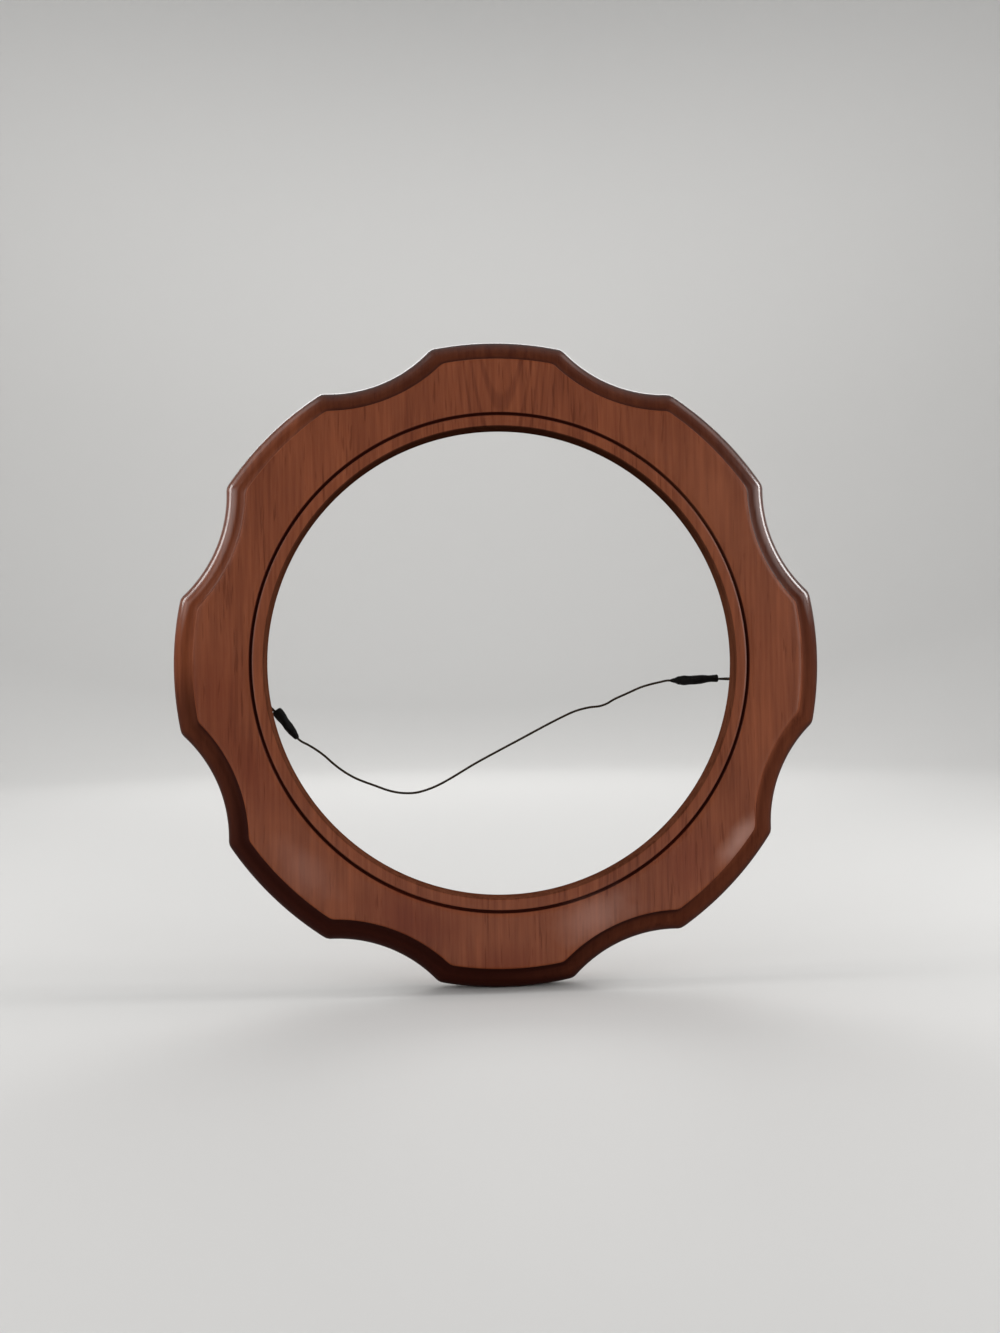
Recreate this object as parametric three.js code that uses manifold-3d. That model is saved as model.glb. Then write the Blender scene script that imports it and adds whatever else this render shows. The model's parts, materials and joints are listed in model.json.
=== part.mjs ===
import * as THREE from 'three';
import { mergeVertices } from 'three/addons/utils/BufferGeometryUtils.js';
import Module from 'manifold-3d';

// Wall frame for a collector plate: a scalloped wooden ring with a rabbet at the back for the plate,
// four turn buttons that keep the plate in, and a slack picture wire looped through two screw eyes.
// Millimetres. The ring stands upright in the XZ plane, its face looks along -Y and its back lies at Y = 0.

// Wooden ring, with radii from the opening outwards and depths from the face backwards
const openingRadius = 105;
const ledgeWidth = 4.5; // how far the lip reaches over the plate's rim
const rimWidth = 42; // from the opening to the crown of a lobe
const ringThickness = 19;
const lipThickness = 8.5;
const openingEase = 1; // round-over on the front edge of the opening
const grooveOffset = 6; // from the opening to the middle of the groove
const grooveWidth = 1.6;
const grooveDepth = 1.3;
const lobeCount = 8;
const lobeAngle = 24; // degrees of the rim that one lobe takes
const scallopSagitta = 6; // depth of a scallop below the chord between two lobes
const cornerRadius = 5; // where a lobe turns into a scallop
const ogeeStep = 1.5; // upright step between the face and the moulding
const hollowRadius = 4; // the moulding's hollow, next to the face
const noseRadius = 6.9; // the moulding's nose, out at the rim
const backEase = 0.8; // chamfer round the back

// Screw eyes, one on each side of the ring
const eyeMargin = 5.5; // from the rabbet wall to the middle of the shank
const eyeDropHeight = 5; // from the ring's middle down to the eyes
const eyeHoleRadius = 3.2;
const eyeWireRadius = 1.05;
const eyeNeck = 0.7; // between the back of the ring and the eye
const eyeOpening = 22; // degrees left open where the curl comes back to the shank
const eyeScrewLength = 11;
const eyePointLength = 3;

// Picture wire and the black sleeves over its twisted ends
const wireRadius = 0.55;
const sleeveRadius = 2.1;
const sleeveTaper = 8; // wedge at the end where the wire comes out
const sleeveTipRadius = 1;
const sleeveEndEase = 0.8;
const leftSleeveLength = 15.4;
const leftSleeveTurn = 126; // degrees from +X up to +Z
const rightSleeveLength = 22.8;
const rightSleeveTurn = 0;
const strandOffset = 0.85; // from a sleeve's axis to each strand of its loop

// Turn buttons and their screws
const buttonMargin = 11.5; // from the rabbet wall to the pivot
const buttonReach = 24; // from the pivot to the tip
const buttonRootRadius = 6;
const buttonTipRadius = 4;
const buttonThickness = 1.2;
const buttonBendLength = 7; // length of the tip that turns up
const buttonLiftHeight = 2.2; // how high the tip turns up
const screwRadius = 1.6;
const screwLength = 12; // below the head
const screwPointLength = 4;
const screwHeadRadius = 3.5;
const screwHeadHeight = 2.3;
const slotWidth = 0.9;
const slotDepth = 1;

const fitGap = 0.3; // clearance between pieces that touch
const buttonAngles = { upper_right: 45, upper_left: 135, lower_left: 225, lower_right: 315 };

// Middle line of the slack wire from the left sleeve to the right one, as X and Z seen from the front
const wireRoute = [
  [-94.5, -33.5], [-92.6, -35.1], [-89.1, -37], [-85.4, -39.4], [-81.9, -42.1],
  [-77.4, -46.2], [-72.8, -49.7], [-68.3, -52.4], [-64.3, -54.2], [-58.6, -56.4], [-53.4, -58.4],
  [-48.8, -59.6], [-44.3, -60.1], [-39.6, -59.9], [-33.9, -58.4], [-29.2, -56.5], [-24, -53.8],
  [-12.4, -47.1], [-0.5, -40.9], [10.1, -35.5], [20.8, -30], [29.2, -25.9], [35.6, -23.2],
  [42.4, -21.6], [46.6, -21.2], [50, -20.2], [54.2, -17.9], [59.6, -15.6], [66.4, -12.7],
  [70.8, -11.4], [75.7, -10.3], [79.3, -9.6], [81.3, -9.6],
];

// Facets
const lobeSteps = 4;
const cornerSteps = 3;
const scallopSteps = 8;
const mouldingSteps = 4;
const easeSteps = 2;
const roundSides = 12;
const wireSides = 8;
const wireStep = 2.5; // length of a step along the wire, in wire diameters
const curlSteps = 26;
const loopSteps = 30;
const bendSteps = 4;

const fullTurn = 2 * Math.PI;
const quarterTurn = Math.PI / 2;
const radians = THREE.MathUtils.degToRad;

// Sizes that follow from the ones above
const rabbetRadius = openingRadius + ledgeWidth;
const lobeRadius = openingRadius + rimWidth;
const mouldingWidth = hollowRadius + noseRadius;
const faceY = -ringThickness;
const ledgeY = faceY + lipThickness;
const eyeX = rabbetRadius + eyeMargin;
const eyeZ = -eyeDropHeight;
const eyeRadius = eyeHoleRadius + eyeWireRadius; // middle line of the curl
const wireY = eyeNeck + eyeWireRadius + eyeRadius; // plane in which the wire hangs
const buttonY = fitGap;
const headY = buttonY + buttonThickness + fitGap;

// Solids are joined and cut as closed bodies with shared corners
const wasm = await Module();
wasm.setup();

function toSolid(geometry) {
  const bare = geometry.clone();
  bare.deleteAttribute('normal');
  bare.deleteAttribute('uv');
  const merged = mergeVertices(bare);
  return new wasm.Manifold(new wasm.Mesh({
    numProp: 3,
    vertProperties: Float32Array.from(merged.attributes.position.array),
    triVerts: Uint32Array.from(merged.index.array),
  }));
}

function toGeometry(solid) {
  const mesh = solid.getMesh();
  const geometry = new THREE.BufferGeometry();
  geometry.setAttribute('position', new THREE.BufferAttribute(mesh.vertProperties, 3));
  geometry.setIndex(new THREE.BufferAttribute(mesh.triVerts, 1));
  geometry.computeVertexNormals();
  return geometry;
}

function polar(radius, angle) {
  return new THREE.Vector2(radius * Math.cos(angle), radius * Math.sin(angle));
}

// A tube with closed ends along a curve
function tube(curve, radius, sides, steps) {
  const corners = Array.from({ length: sides }, (_, i) => polar(radius, i * fullTurn / sides));
  const section = new THREE.Shape(corners);
  return new THREE.ExtrudeGeometry(section, { extrudePath: curve, steps, bevelEnabled: false });
}

// An upright round bar from one height to another, used as a drill
function drill(radius, fromY, toY) {
  const bar = new THREE.CylinderGeometry(radius, radius, toY - fromY, roundSides);
  return bar.translate(0, (fromY + toY) / 2, 0);
}

// Eight lobes on one circle, with a scallop between each two. Moving the outline inwards shrinks the lobes'
// circle and widens the scallops' circles, so every outline of the moulding comes from the same two circles.
const lobePitch = fullTurn / lobeCount;
const scallopHalfAngle = (lobePitch - radians(lobeAngle)) / 2;
const scallopHalfChord = lobeRadius * Math.sin(scallopHalfAngle);
const scallopRadius = (scallopHalfChord ** 2 + scallopSagitta ** 2) / (2 * scallopSagitta);
const scallopCentre = lobeRadius * Math.cos(scallopHalfAngle) - scallopSagitta + scallopRadius;

// Half the angle of a lobe, up to the sharp corner that it would have at this inset
function halfLobeAngle(inset) {
  const lobe = lobeRadius - inset;
  const scallop = scallopRadius + inset;
  const cosine = (lobe ** 2 + scallopCentre ** 2 - scallop ** 2) / (2 * lobe * scallopCentre);
  return lobePitch / 2 - Math.acos(cosine);
}

// Points from the start of an arc up to, and without, its end
function arcPoints(centre, radius, from, to, steps) {
  const sweep = THREE.MathUtils.euclideanModulo(to - from + Math.PI, fullTurn) - Math.PI;
  return Array.from({ length: steps }, (_, i) => polar(radius, from + sweep * i / steps).add(centre));
}

function rimOutline(inset) {
  const axis = new THREE.Vector2();
  const lobe = lobeRadius - inset;
  const scallop = scallopRadius + inset;
  const half = halfLobeAngle(inset + cornerRadius);
  const points = [];
  for (let i = 0; i < lobeCount; i++) {
    const lobeEnd = i * lobePitch + half;
    const nextLobe = (i + 1) * lobePitch - half;
    const hollow = polar(scallopCentre, (i + 0.5) * lobePitch);
    const leaving = polar(lobe - cornerRadius, lobeEnd);
    const entering = polar(lobe - cornerRadius, nextLobe);
    const out = hollow.clone().sub(leaving).angle();
    const back = hollow.clone().sub(entering).angle();
    points.push(
      ...arcPoints(axis, lobe, i * lobePitch - half, lobeEnd, lobeSteps),
      ...arcPoints(leaving, cornerRadius, lobeEnd, out, cornerSteps),
      ...arcPoints(hollow, scallop, out + Math.PI, back + Math.PI, scallopSteps),
      ...arcPoints(entering, cornerRadius, back, nextLobe, cornerSteps),
    );
  }
  return points;
}

// The ring is a loft of outlines: round the back, up the moulded edge, over the face and its groove,
// down through the opening and out along the rabbet
function ringGeometry() {
  const stations = rimOutline(mouldingWidth).map((point) => point.angle());
  const rows = [];
  const addRow = (outline, y) => rows.push(outline.map((point) => new THREE.Vector3(point.x, y, point.y)));
  const addRim = (inset, y) => addRow(rimOutline(inset), y);
  const addCircle = (radius, y) => addRow(stations.map((angle) => polar(radius, angle)), y);

  const noseY = faceY + ogeeStep + mouldingWidth;
  const hollowY = faceY + ogeeStep;
  addRim(backEase, 0);
  addRim(0, -backEase);
  for (let i = 0; i < mouldingSteps; i++) {
    const turn = quarterTurn * i / mouldingSteps;
    addRim(noseRadius * (1 - Math.cos(turn)), noseY - noseRadius * Math.sin(turn));
  }
  for (let i = 0; i <= mouldingSteps; i++) {
    const turn = quarterTurn * i / mouldingSteps;
    addRim(noseRadius + hollowRadius * Math.sin(turn), hollowY + hollowRadius * Math.cos(turn));
  }
  addRim(mouldingWidth, faceY);

  const grooveRadius = openingRadius + grooveOffset;
  addCircle(grooveRadius + grooveWidth / 2, faceY);
  addCircle(grooveRadius, faceY + grooveDepth);
  addCircle(grooveRadius - grooveWidth / 2, faceY);
  for (let i = 0; i <= easeSteps; i++) {
    const turn = quarterTurn * i / easeSteps;
    addCircle(openingRadius + openingEase * (1 - Math.sin(turn)), faceY + openingEase * (1 - Math.cos(turn)));
  }
  addCircle(openingRadius, ledgeY);
  addCircle(rabbetRadius, ledgeY);
  addCircle(rabbetRadius, 0);

  const count = stations.length;
  const index = [];
  rows.forEach((_, row) => {
    const here = row * count;
    const next = ((row + 1) % rows.length) * count;
    for (let i = 0; i < count; i++) {
      const j = (i + 1) % count;
      index.push(here + i, here + j, next + j, here + i, next + j, next + i);
    }
  });
  const geometry = new THREE.BufferGeometry().setFromPoints(rows.flat());
  geometry.setIndex(index);
  return geometry;
}

// Places of the four pivots on the back of the ring
const pivots = Object.entries(buttonAngles).map(([corner, degrees]) => {
  const place = polar(rabbetRadius + buttonMargin, radians(degrees));
  return { corner, turn: radians(degrees), x: place.x, z: place.y };
});

// The ring with its pilot holes for the eyes and the button screws
function drilledRing() {
  const overshoot = backEase;
  let ring = toSolid(ringGeometry());
  const bore = (radius, depth, x, z) => {
    ring = ring.subtract(toSolid(drill(radius, -depth, overshoot).translate(x, 0, z)));
  };
  bore(eyeWireRadius + fitGap, eyeScrewLength + fitGap, eyeX, eyeZ);
  bore(eyeWireRadius + fitGap, eyeScrewLength + fitGap, -eyeX, eyeZ);
  const screwDepth = screwLength - headY + fitGap;
  pivots.forEach(({ x, z }) => bore(screwRadius + fitGap, screwDepth, x, z));
  return toGeometry(ring);
}

// An arc about the X axis that starts next to the ring's back
class CurlCurve extends THREE.Curve {
  getPoint(share, target = new THREE.Vector3()) {
    const turn = share * (fullTurn - radians(eyeOpening));
    return target.set(0, wireY - eyeRadius * Math.cos(turn), eyeRadius * Math.sin(turn));
  }
}

// A pointed shank whose wire is curled into an eye, with the curl's end just short of the shank
function screwEyeGeometry() {
  const shank = new THREE.LatheGeometry([
    new THREE.Vector2(0, -eyeScrewLength),
    new THREE.Vector2(eyeWireRadius, -eyeScrewLength + eyePointLength),
    new THREE.Vector2(eyeWireRadius, wireY - eyeRadius),
    new THREE.Vector2(0, wireY - eyeRadius),
  ], roundSides);
  const curl = tube(new CurlCurve(), eyeWireRadius, roundSides, curlSteps);
  return toGeometry(toSolid(shank).add(toSolid(curl)));
}

// A sleeve's place: it starts where the wire ends and lies along its own direction
function sleevePlace(end, turn, length) {
  const wireEnd = new THREE.Vector3(end[0], wireY, end[1]);
  const towards = polar(1, radians(turn));
  const direction = new THREE.Vector3(towards.x, 0, towards.y);
  const start = wireEnd.clone().addScaledVector(direction, fitGap);
  const finish = start.clone().addScaledVector(direction, length);
  return { start, finish, direction };
}

// A shrunk sleeve, drawn in to a wedge at the wire and rounded off at the loop
function sleeveGeometry(length) {
  return new THREE.LatheGeometry([
    new THREE.Vector2(0, 0),
    new THREE.Vector2(sleeveTipRadius, 0),
    new THREE.Vector2(sleeveRadius, sleeveTaper),
    new THREE.Vector2(sleeveRadius, length - sleeveEndEase),
    new THREE.Vector2(sleeveRadius - sleeveEndEase / 2, length),
    new THREE.Vector2(0, length),
  ], roundSides);
}

// A loop runs out of a sleeve, round the lowest part of an eye and back into the sleeve
function loopCurve(place, side) {
  const bow = new THREE.Vector3(side * eyeX, wireY, eyeZ - eyeRadius);
  const wrap = eyeWireRadius + fitGap + wireRadius;
  const root = place.finish.clone().addScaledVector(place.direction, fitGap);
  const pull = bow.clone().sub(root).normalize();
  const across = new THREE.Vector3(-pull.z, 0, pull.x);
  const rootAcross = new THREE.Vector3(-place.direction.z, 0, place.direction.x);
  const arcSteps = 6;
  const arc = Array.from({ length: arcSteps + 1 }, (_, i) => {
    const turn = Math.PI * i / arcSteps;
    return bow.clone()
      .addScaledVector(across, wrap * Math.cos(turn))
      .addScaledVector(pull, wrap * Math.sin(turn));
  });
  return new THREE.CatmullRomCurve3([
    root.clone().addScaledVector(rootAcross, strandOffset),
    ...arc,
    root.clone().addScaledVector(rootAcross, -strandOffset),
  ]);
}

// A stamped strip with round ends, wider at the pivot, its tip turned up so that a finger can catch it
function turnButtonGeometry() {
  const tipX = buttonReach - buttonTipRadius;
  const side = Math.acos((buttonRootRadius - buttonTipRadius) / tipX);
  const plan = new THREE.Shape();
  plan.absarc(0, 0, buttonRootRadius, side, fullTurn - side, false);
  plan.absarc(tipX, 0, buttonTipRadius, -side, side, false);
  const hole = new THREE.Path();
  hole.absarc(0, 0, screwRadius + fitGap, 0, fullTurn, true);
  plan.holes.push(hole);

  const over = buttonThickness;
  const startX = -buttonRootRadius - over;
  const bendX = buttonReach - buttonBendLength;
  const middleX = buttonReach - buttonBendLength / 2;
  const endX = buttonReach + over;
  const endLift = buttonLiftHeight * (1 + over / buttonBendLength);
  const edge = new THREE.Shape();
  edge.moveTo(startX, 0);
  edge.lineTo(bendX, 0);
  edge.quadraticCurveTo(middleX, 0, endX, endLift);
  edge.lineTo(endX, endLift + buttonThickness);
  edge.quadraticCurveTo(middleX, buttonThickness, bendX, buttonThickness);
  edge.lineTo(startX, buttonThickness);

  const height = endLift + buttonThickness + 2 * over;
  const width = 2 * (buttonRootRadius + over);
  const blank = new THREE.ExtrudeGeometry(plan, {
    depth: height, curveSegments: roundSides / 2, bevelEnabled: false,
  });
  blank.rotateX(-quarterTurn).translate(0, -over, 0);
  const strip = new THREE.ExtrudeGeometry(edge, {
    depth: width, curveSegments: bendSteps, bevelEnabled: false,
  });
  strip.translate(0, 0, -width / 2);
  return toGeometry(toSolid(blank).intersect(toSolid(strip)));
}

// A pointed wood screw with a slotted round head that sits on the button
function buttonScrewGeometry() {
  const domeSteps = 4;
  const dome = Array.from({ length: domeSteps + 1 }, (_, i) => {
    const turn = quarterTurn * i / domeSteps;
    return new THREE.Vector2(screwHeadRadius * Math.cos(turn), headY + screwHeadHeight * Math.sin(turn));
  });
  dome[domeSteps].x = 0;
  const tipY = headY - screwLength;
  const body = new THREE.LatheGeometry([
    new THREE.Vector2(0, tipY),
    new THREE.Vector2(screwRadius, tipY + screwPointLength),
    new THREE.Vector2(screwRadius, headY),
    ...dome,
  ], roundSides);
  const slot = new THREE.BoxGeometry(4 * screwHeadRadius, 2 * slotDepth, slotWidth);
  slot.translate(0, headY + screwHeadHeight, 0);
  return toGeometry(toSolid(body).subtract(toSolid(slot)));
}

function piece(name, geometry, finish) {
  const mesh = new THREE.Mesh(geometry, new THREE.MeshStandardMaterial(finish));
  mesh.name = name;
  return mesh;
}

const stainedWood = { color: 0x70422f, roughness: 0.42, metalness: 0 };
const brassPlate = { color: 0xb08d4a, roughness: 0.35, metalness: 1 };
const steelWire = { color: 0x2a2320, roughness: 0.5, metalness: 0.8 };
const zincSteel = { color: 0x9a9ca0, roughness: 0.4, metalness: 1 };
const blackSleeve = { color: 0x101010, roughness: 0.75, metalness: 0 };

const frame = new THREE.Group();
frame.add(piece('frame_ring', drilledRing(), stainedWood));

// Wire, sleeves, loops and eyes
const wireEnds = [
  { hand: 'left', side: -1, end: wireRoute[0], turn: leftSleeveTurn, length: leftSleeveLength },
  { hand: 'right', side: 1, end: wireRoute.at(-1), turn: rightSleeveTurn, length: rightSleeveLength },
];
const upAxis = new THREE.Vector3(0, 1, 0);
for (const { hand, side, end, turn, length } of wireEnds) {
  const eye = piece(`${hand}_screw_eye`, screwEyeGeometry(), brassPlate);
  eye.position.set(side * eyeX, 0, eyeZ);
  frame.add(eye);

  const place = sleevePlace(end, turn, length);
  const sleeve = piece(`${hand}_wire_sleeve`, sleeveGeometry(length), blackSleeve);
  sleeve.position.copy(place.start);
  sleeve.quaternion.setFromUnitVectors(upAxis, place.direction);
  frame.add(sleeve);

  const loop = tube(loopCurve(place, side), wireRadius, wireSides, loopSteps);
  frame.add(piece(`${hand}_wire_loop`, loop, steelWire));
}
const wireCurve = new THREE.CatmullRomCurve3(wireRoute.map(([x, z]) => new THREE.Vector3(x, wireY, z)));
const wireSteps = Math.round(wireCurve.getLength() / (wireStep * 2 * wireRadius));
frame.add(piece('hanging_wire', tube(wireCurve, wireRadius, wireSides, wireSteps), steelWire));

// Turn buttons, put away along the rim so that the opening is clear
for (const { corner, turn, x, z } of pivots) {
  const pivot = new THREE.Group();
  pivot.position.set(x, 0, z);
  pivot.rotation.y = -turn - quarterTurn;
  const button = piece(`turn_button_${corner}`, turnButtonGeometry(), zincSteel);
  button.position.y = buttonY;
  pivot.add(button, piece(`button_screw_${corner}`, buttonScrewGeometry(), brassPlate));
  frame.add(pivot);
}

export default frame;
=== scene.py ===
import json
import math

import bmesh
import bpy
from mathutils import Matrix, Vector


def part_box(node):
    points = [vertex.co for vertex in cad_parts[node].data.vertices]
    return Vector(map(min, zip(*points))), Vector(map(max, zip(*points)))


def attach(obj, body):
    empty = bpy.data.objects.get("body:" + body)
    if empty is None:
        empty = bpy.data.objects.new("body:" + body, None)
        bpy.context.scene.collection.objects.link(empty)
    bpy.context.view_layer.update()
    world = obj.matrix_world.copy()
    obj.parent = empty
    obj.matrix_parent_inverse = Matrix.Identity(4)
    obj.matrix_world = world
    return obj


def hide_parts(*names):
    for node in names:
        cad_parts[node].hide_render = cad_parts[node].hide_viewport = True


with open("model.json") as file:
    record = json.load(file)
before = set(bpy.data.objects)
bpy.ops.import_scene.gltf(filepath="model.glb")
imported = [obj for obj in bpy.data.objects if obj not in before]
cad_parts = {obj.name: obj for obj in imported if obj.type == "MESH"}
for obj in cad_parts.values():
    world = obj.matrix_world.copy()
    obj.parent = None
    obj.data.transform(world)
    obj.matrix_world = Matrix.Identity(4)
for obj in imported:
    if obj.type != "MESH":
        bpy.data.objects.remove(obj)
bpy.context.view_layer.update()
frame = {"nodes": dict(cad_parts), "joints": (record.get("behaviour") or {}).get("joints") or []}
scene = bpy.context.scene
scene.view_settings.view_transform = "Standard"
mm = 0.001  # sizes in the settings are millimetres, in the frame of the CAD model
print("frame loaded:", len(frame["nodes"]), "nodes")


# Camera: a little left of and below the ring's axis, turned towards its middle
cameraSettings = {
    "place": (-27.7, -468.9, -17.8),
    "aside": -3.36,  # degrees
    "up": 1.93,
    "roll": 0.94,
    "lens": 27.37,
    "longSide": 36,
}


def makeCamera(settings):
    data = bpy.data.cameras.new("photoCamera")
    data.sensor_width = settings["longSide"]
    data.lens = settings["lens"]
    camera = bpy.data.objects.new("photoCamera", data)
    scene.collection.objects.link(camera)
    turned = Matrix.Translation(Vector(settings["place"]) * mm)
    for name, axis in (("aside", "Z"), ("up", "X"), ("roll", "Y")):
        turned = turned @ Matrix.Rotation(math.radians(settings[name]), 4, axis)
    level = Matrix.Rotation(math.radians(90), 4, "X")  # a new camera looks straight down
    camera.matrix_world = turned @ level
    scene.camera = camera


makeCamera(cameraSettings)
print("camera placed")


# Node helpers: sockets that take plain arithmetic, in geometry trees and in materials
class NodeValue:
    def __init__(self, tree, socket):
        self.tree = tree
        self.socket = socket

    def apply(self, operation, *others):
        node = self.tree.nodes.new("ShaderNodeMath")
        node.operation = operation
        for slot, term in zip(node.inputs, (self,) + others):
            plug(self.tree, term, slot)
        return NodeValue(self.tree, node.outputs[0])

    def __add__(self, other):
        return self.apply("ADD", other)

    def __sub__(self, other):
        return self.apply("SUBTRACT", other)

    def __rsub__(self, other):
        return self.apply("MULTIPLY", -1).apply("ADD", other)

    def __mul__(self, other):
        return self.apply("MULTIPLY", other)

    def __truediv__(self, other):
        return self.apply("DIVIDE", other)

    def __pow__(self, power):
        return self.apply("POWER", power)

    __radd__ = __add__
    __rmul__ = __mul__

    def clamped(self):
        made = self.apply("ADD", 0.0)
        made.socket.node.use_clamp = True
        return made

    def spread(self, low, high):  # 0 up to the low value, 1 from the high one
        inputs = {"Value": self, "From Min": low, "From Max": high}
        return value(addNode(self.tree, "ShaderNodeMapRange", inputs, interpolation_type="SMOOTHSTEP"))


def plug(tree, term, slot):
    if isinstance(term, NodeValue):
        tree.links.new(term.socket, slot)
    elif isinstance(term, bpy.types.NodeSocket):
        tree.links.new(term, slot)
    else:
        slot.default_value = term


def feed(node, inputs):
    for name, term in inputs.items():
        plug(node.id_data, term, node.inputs[name])


def addNode(tree, kind, inputs=None, **options):
    node = tree.nodes.new(kind)
    for name, option in options.items():
        setattr(node, name, option)
    feed(node, inputs or {})
    return node


def value(node, name=0):
    return NodeValue(node.id_data, node.outputs[name])


def vectorMath(tree, operation, inputs):
    return addNode(tree, "ShaderNodeVectorMath", inputs, operation=operation).outputs[0]


def newGeometryTree(name, sizes):
    tree = bpy.data.node_groups.new(name, "GeometryNodeTree")
    tree.interface.new_socket("Geometry", in_out="INPUT", socket_type="NodeSocketGeometry")
    tree.interface.new_socket("Geometry", in_out="OUTPUT", socket_type="NodeSocketGeometry")
    for label, kind in sizes.items():
        tree.interface.new_socket(label, in_out="INPUT", socket_type="NodeSocket" + kind)
    start = tree.nodes.new("NodeGroupInput")
    end = tree.nodes.new("NodeGroupOutput")
    return tree, start, end


# Ends a tree with real geometry in one finish
def endTree(tree, end, geometry, material):
    real = addNode(tree, "GeometryNodeRealizeInstances", {"Geometry": geometry})
    coated = addNode(tree, "GeometryNodeSetMaterial", {"Geometry": real.outputs[0], "Material": material})
    plug(tree, coated.outputs[0], end.inputs[0])


# Turns an object with its modifiers into one plain mesh
def bakeModifiers(obj):
    bpy.context.view_layer.update()
    evaluated = obj.evaluated_get(bpy.context.evaluated_depsgraph_get())
    baked = bpy.data.meshes.new_from_object(evaluated)
    obj.modifiers.clear()
    obj.data = baked
    baked.name = obj.name


def bakeTree(obj, tree, sizes):
    modifier = obj.modifiers.new(tree.name, "NODES")
    modifier.node_group = tree
    for item in tree.interface.items_tree:
        if item.item_type == "SOCKET" and item.in_out == "INPUT" and item.name in sizes:
            modifier[item.identifier] = sizes[item.name]
    bakeModifiers(obj)


# Mesh helpers
def meshObject(name, points, faces=(), edges=()):
    mesh = bpy.data.meshes.new(name)
    mesh.from_pydata([tuple(p) for p in points], list(edges), list(faces))
    mesh.update()
    obj = bpy.data.objects.new(name, mesh)
    scene.collection.objects.link(obj)
    return obj


def smoothShade(obj, angle):
    obj.data.shade_smooth()
    obj.data.set_sharp_from_angle(angle=math.radians(angle))


def outwardFaces(obj):
    work = bmesh.new()
    work.from_mesh(obj.data)
    bmesh.ops.remove_doubles(work, verts=work.verts, dist=1e-7)
    bmesh.ops.recalc_face_normals(work, faces=work.faces)
    work.to_mesh(obj.data)
    work.free()


# Faces between pairs of rings, each with the same count of points
def bandFaces(count, pairs):
    faces = []
    for here, there in pairs:
        for i in range(count):
            j = (i + 1) % count
            faces.append((here * count + i, here * count + j, there * count + j, there * count + i))
    return faces


# A closed skin over rings of points, capped at both ends or joined round
def skinRings(name, rings, joined=False):
    count = len(rings[0])
    last = len(rings) - 1
    faces = bandFaces(count, [(i, i + 1) for i in range(last)])
    if joined:
        faces += bandFaces(count, [(last, 0)])
    else:
        faces.append(tuple(reversed(range(count))))
        faces.append(tuple(range(last * count, len(rings) * count)))
    obj = meshObject(name, [p for ring in rings for p in ring], faces)
    outwardFaces(obj)
    return obj


def turnsRound(count):  # even steps round a circle
    return [math.tau * k / count for k in range(count)]


def quarterTurns(steps):  # steps of a quarter circle, without its start
    return [math.radians(90) * i / steps for i in range(1, steps + 1)]


def aroundAxis(radius, y, turn):  # a point of something turned round the Y axis
    return Vector((radius * math.cos(turn), y, radius * math.sin(turn))) * mm


# Points of a smooth line through the given ones, with even pacing (centripetal)
def smoothLine(points, perStretch):
    points = [Vector(p) for p in points]
    before = points[0] * 2 - points[1]
    after = points[-1] * 2 - points[-2]
    ends = [before] + points + [after]
    line = []
    for a, b, c, d in zip(ends, ends[1:], ends[2:], ends[3:]):
        t0 = 0.0
        t1 = t0 + (b - a).length ** 0.5
        t2 = t1 + (c - b).length ** 0.5
        t3 = t2 + (d - c).length ** 0.5
        for i in range(perStretch):
            t = t1 + (t2 - t1) * i / perStretch
            ab = a.lerp(b, (t - t0) / (t1 - t0))
            bc = b.lerp(c, (t - t1) / (t2 - t1))
            cd = c.lerp(d, (t - t2) / (t3 - t2))
            abc = ab.lerp(bc, (t - t0) / (t2 - t0))
            bcd = bc.lerp(cd, (t - t1) / (t3 - t1))
            line.append(abc.lerp(bcd, (t - t1) / (t2 - t1)))
    return line + [points[-1]]


def lineLength(points):
    return sum((b - a).length for a, b in zip(points, points[1:]))


# Shader groups that several finishes share
def newShaderGroup(name, inputs, outputs):
    tree = bpy.data.node_groups.new(name, "ShaderNodeTree")
    for label, kind, default in inputs:
        socket = tree.interface.new_socket(label, in_out="INPUT", socket_type="NodeSocket" + kind)
        socket.default_value = default
    for label, kind in outputs:
        tree.interface.new_socket(label, in_out="OUTPUT", socket_type="NodeSocket" + kind)
    return tree, tree.nodes.new("NodeGroupInput"), tree.nodes.new("NodeGroupOutput")


def objectPlace(tree):
    coordinates = addNode(tree, "ShaderNodeTexCoord")
    split = addNode(tree, "ShaderNodeSeparateXYZ", {"Vector": coordinates.outputs["Object"]})
    return coordinates.outputs["Object"], [value(split, axis) for axis in "XYZ"]


def facingUp(tree):  # 1 where the surface faces up, -1 where it faces down
    normal = addNode(tree, "ShaderNodeNewGeometry").outputs["Normal"]
    return value(addNode(tree, "ShaderNodeSeparateXYZ", {"Vector": normal}), "Z")


def noiseAt(tree, place, scale, detail=3.0, roughness=0.55):
    inputs = {"Vector": place, "Scale": scale, "Detail": detail, "Roughness": roughness}
    return value(addNode(tree, "ShaderNodeTexNoise", inputs))


def mixColours(tree, share, first, second):
    return addNode(tree, "ShaderNodeMix", {0: share, 6: first, 7: second}, data_type="RGBA").outputs[2]


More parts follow.
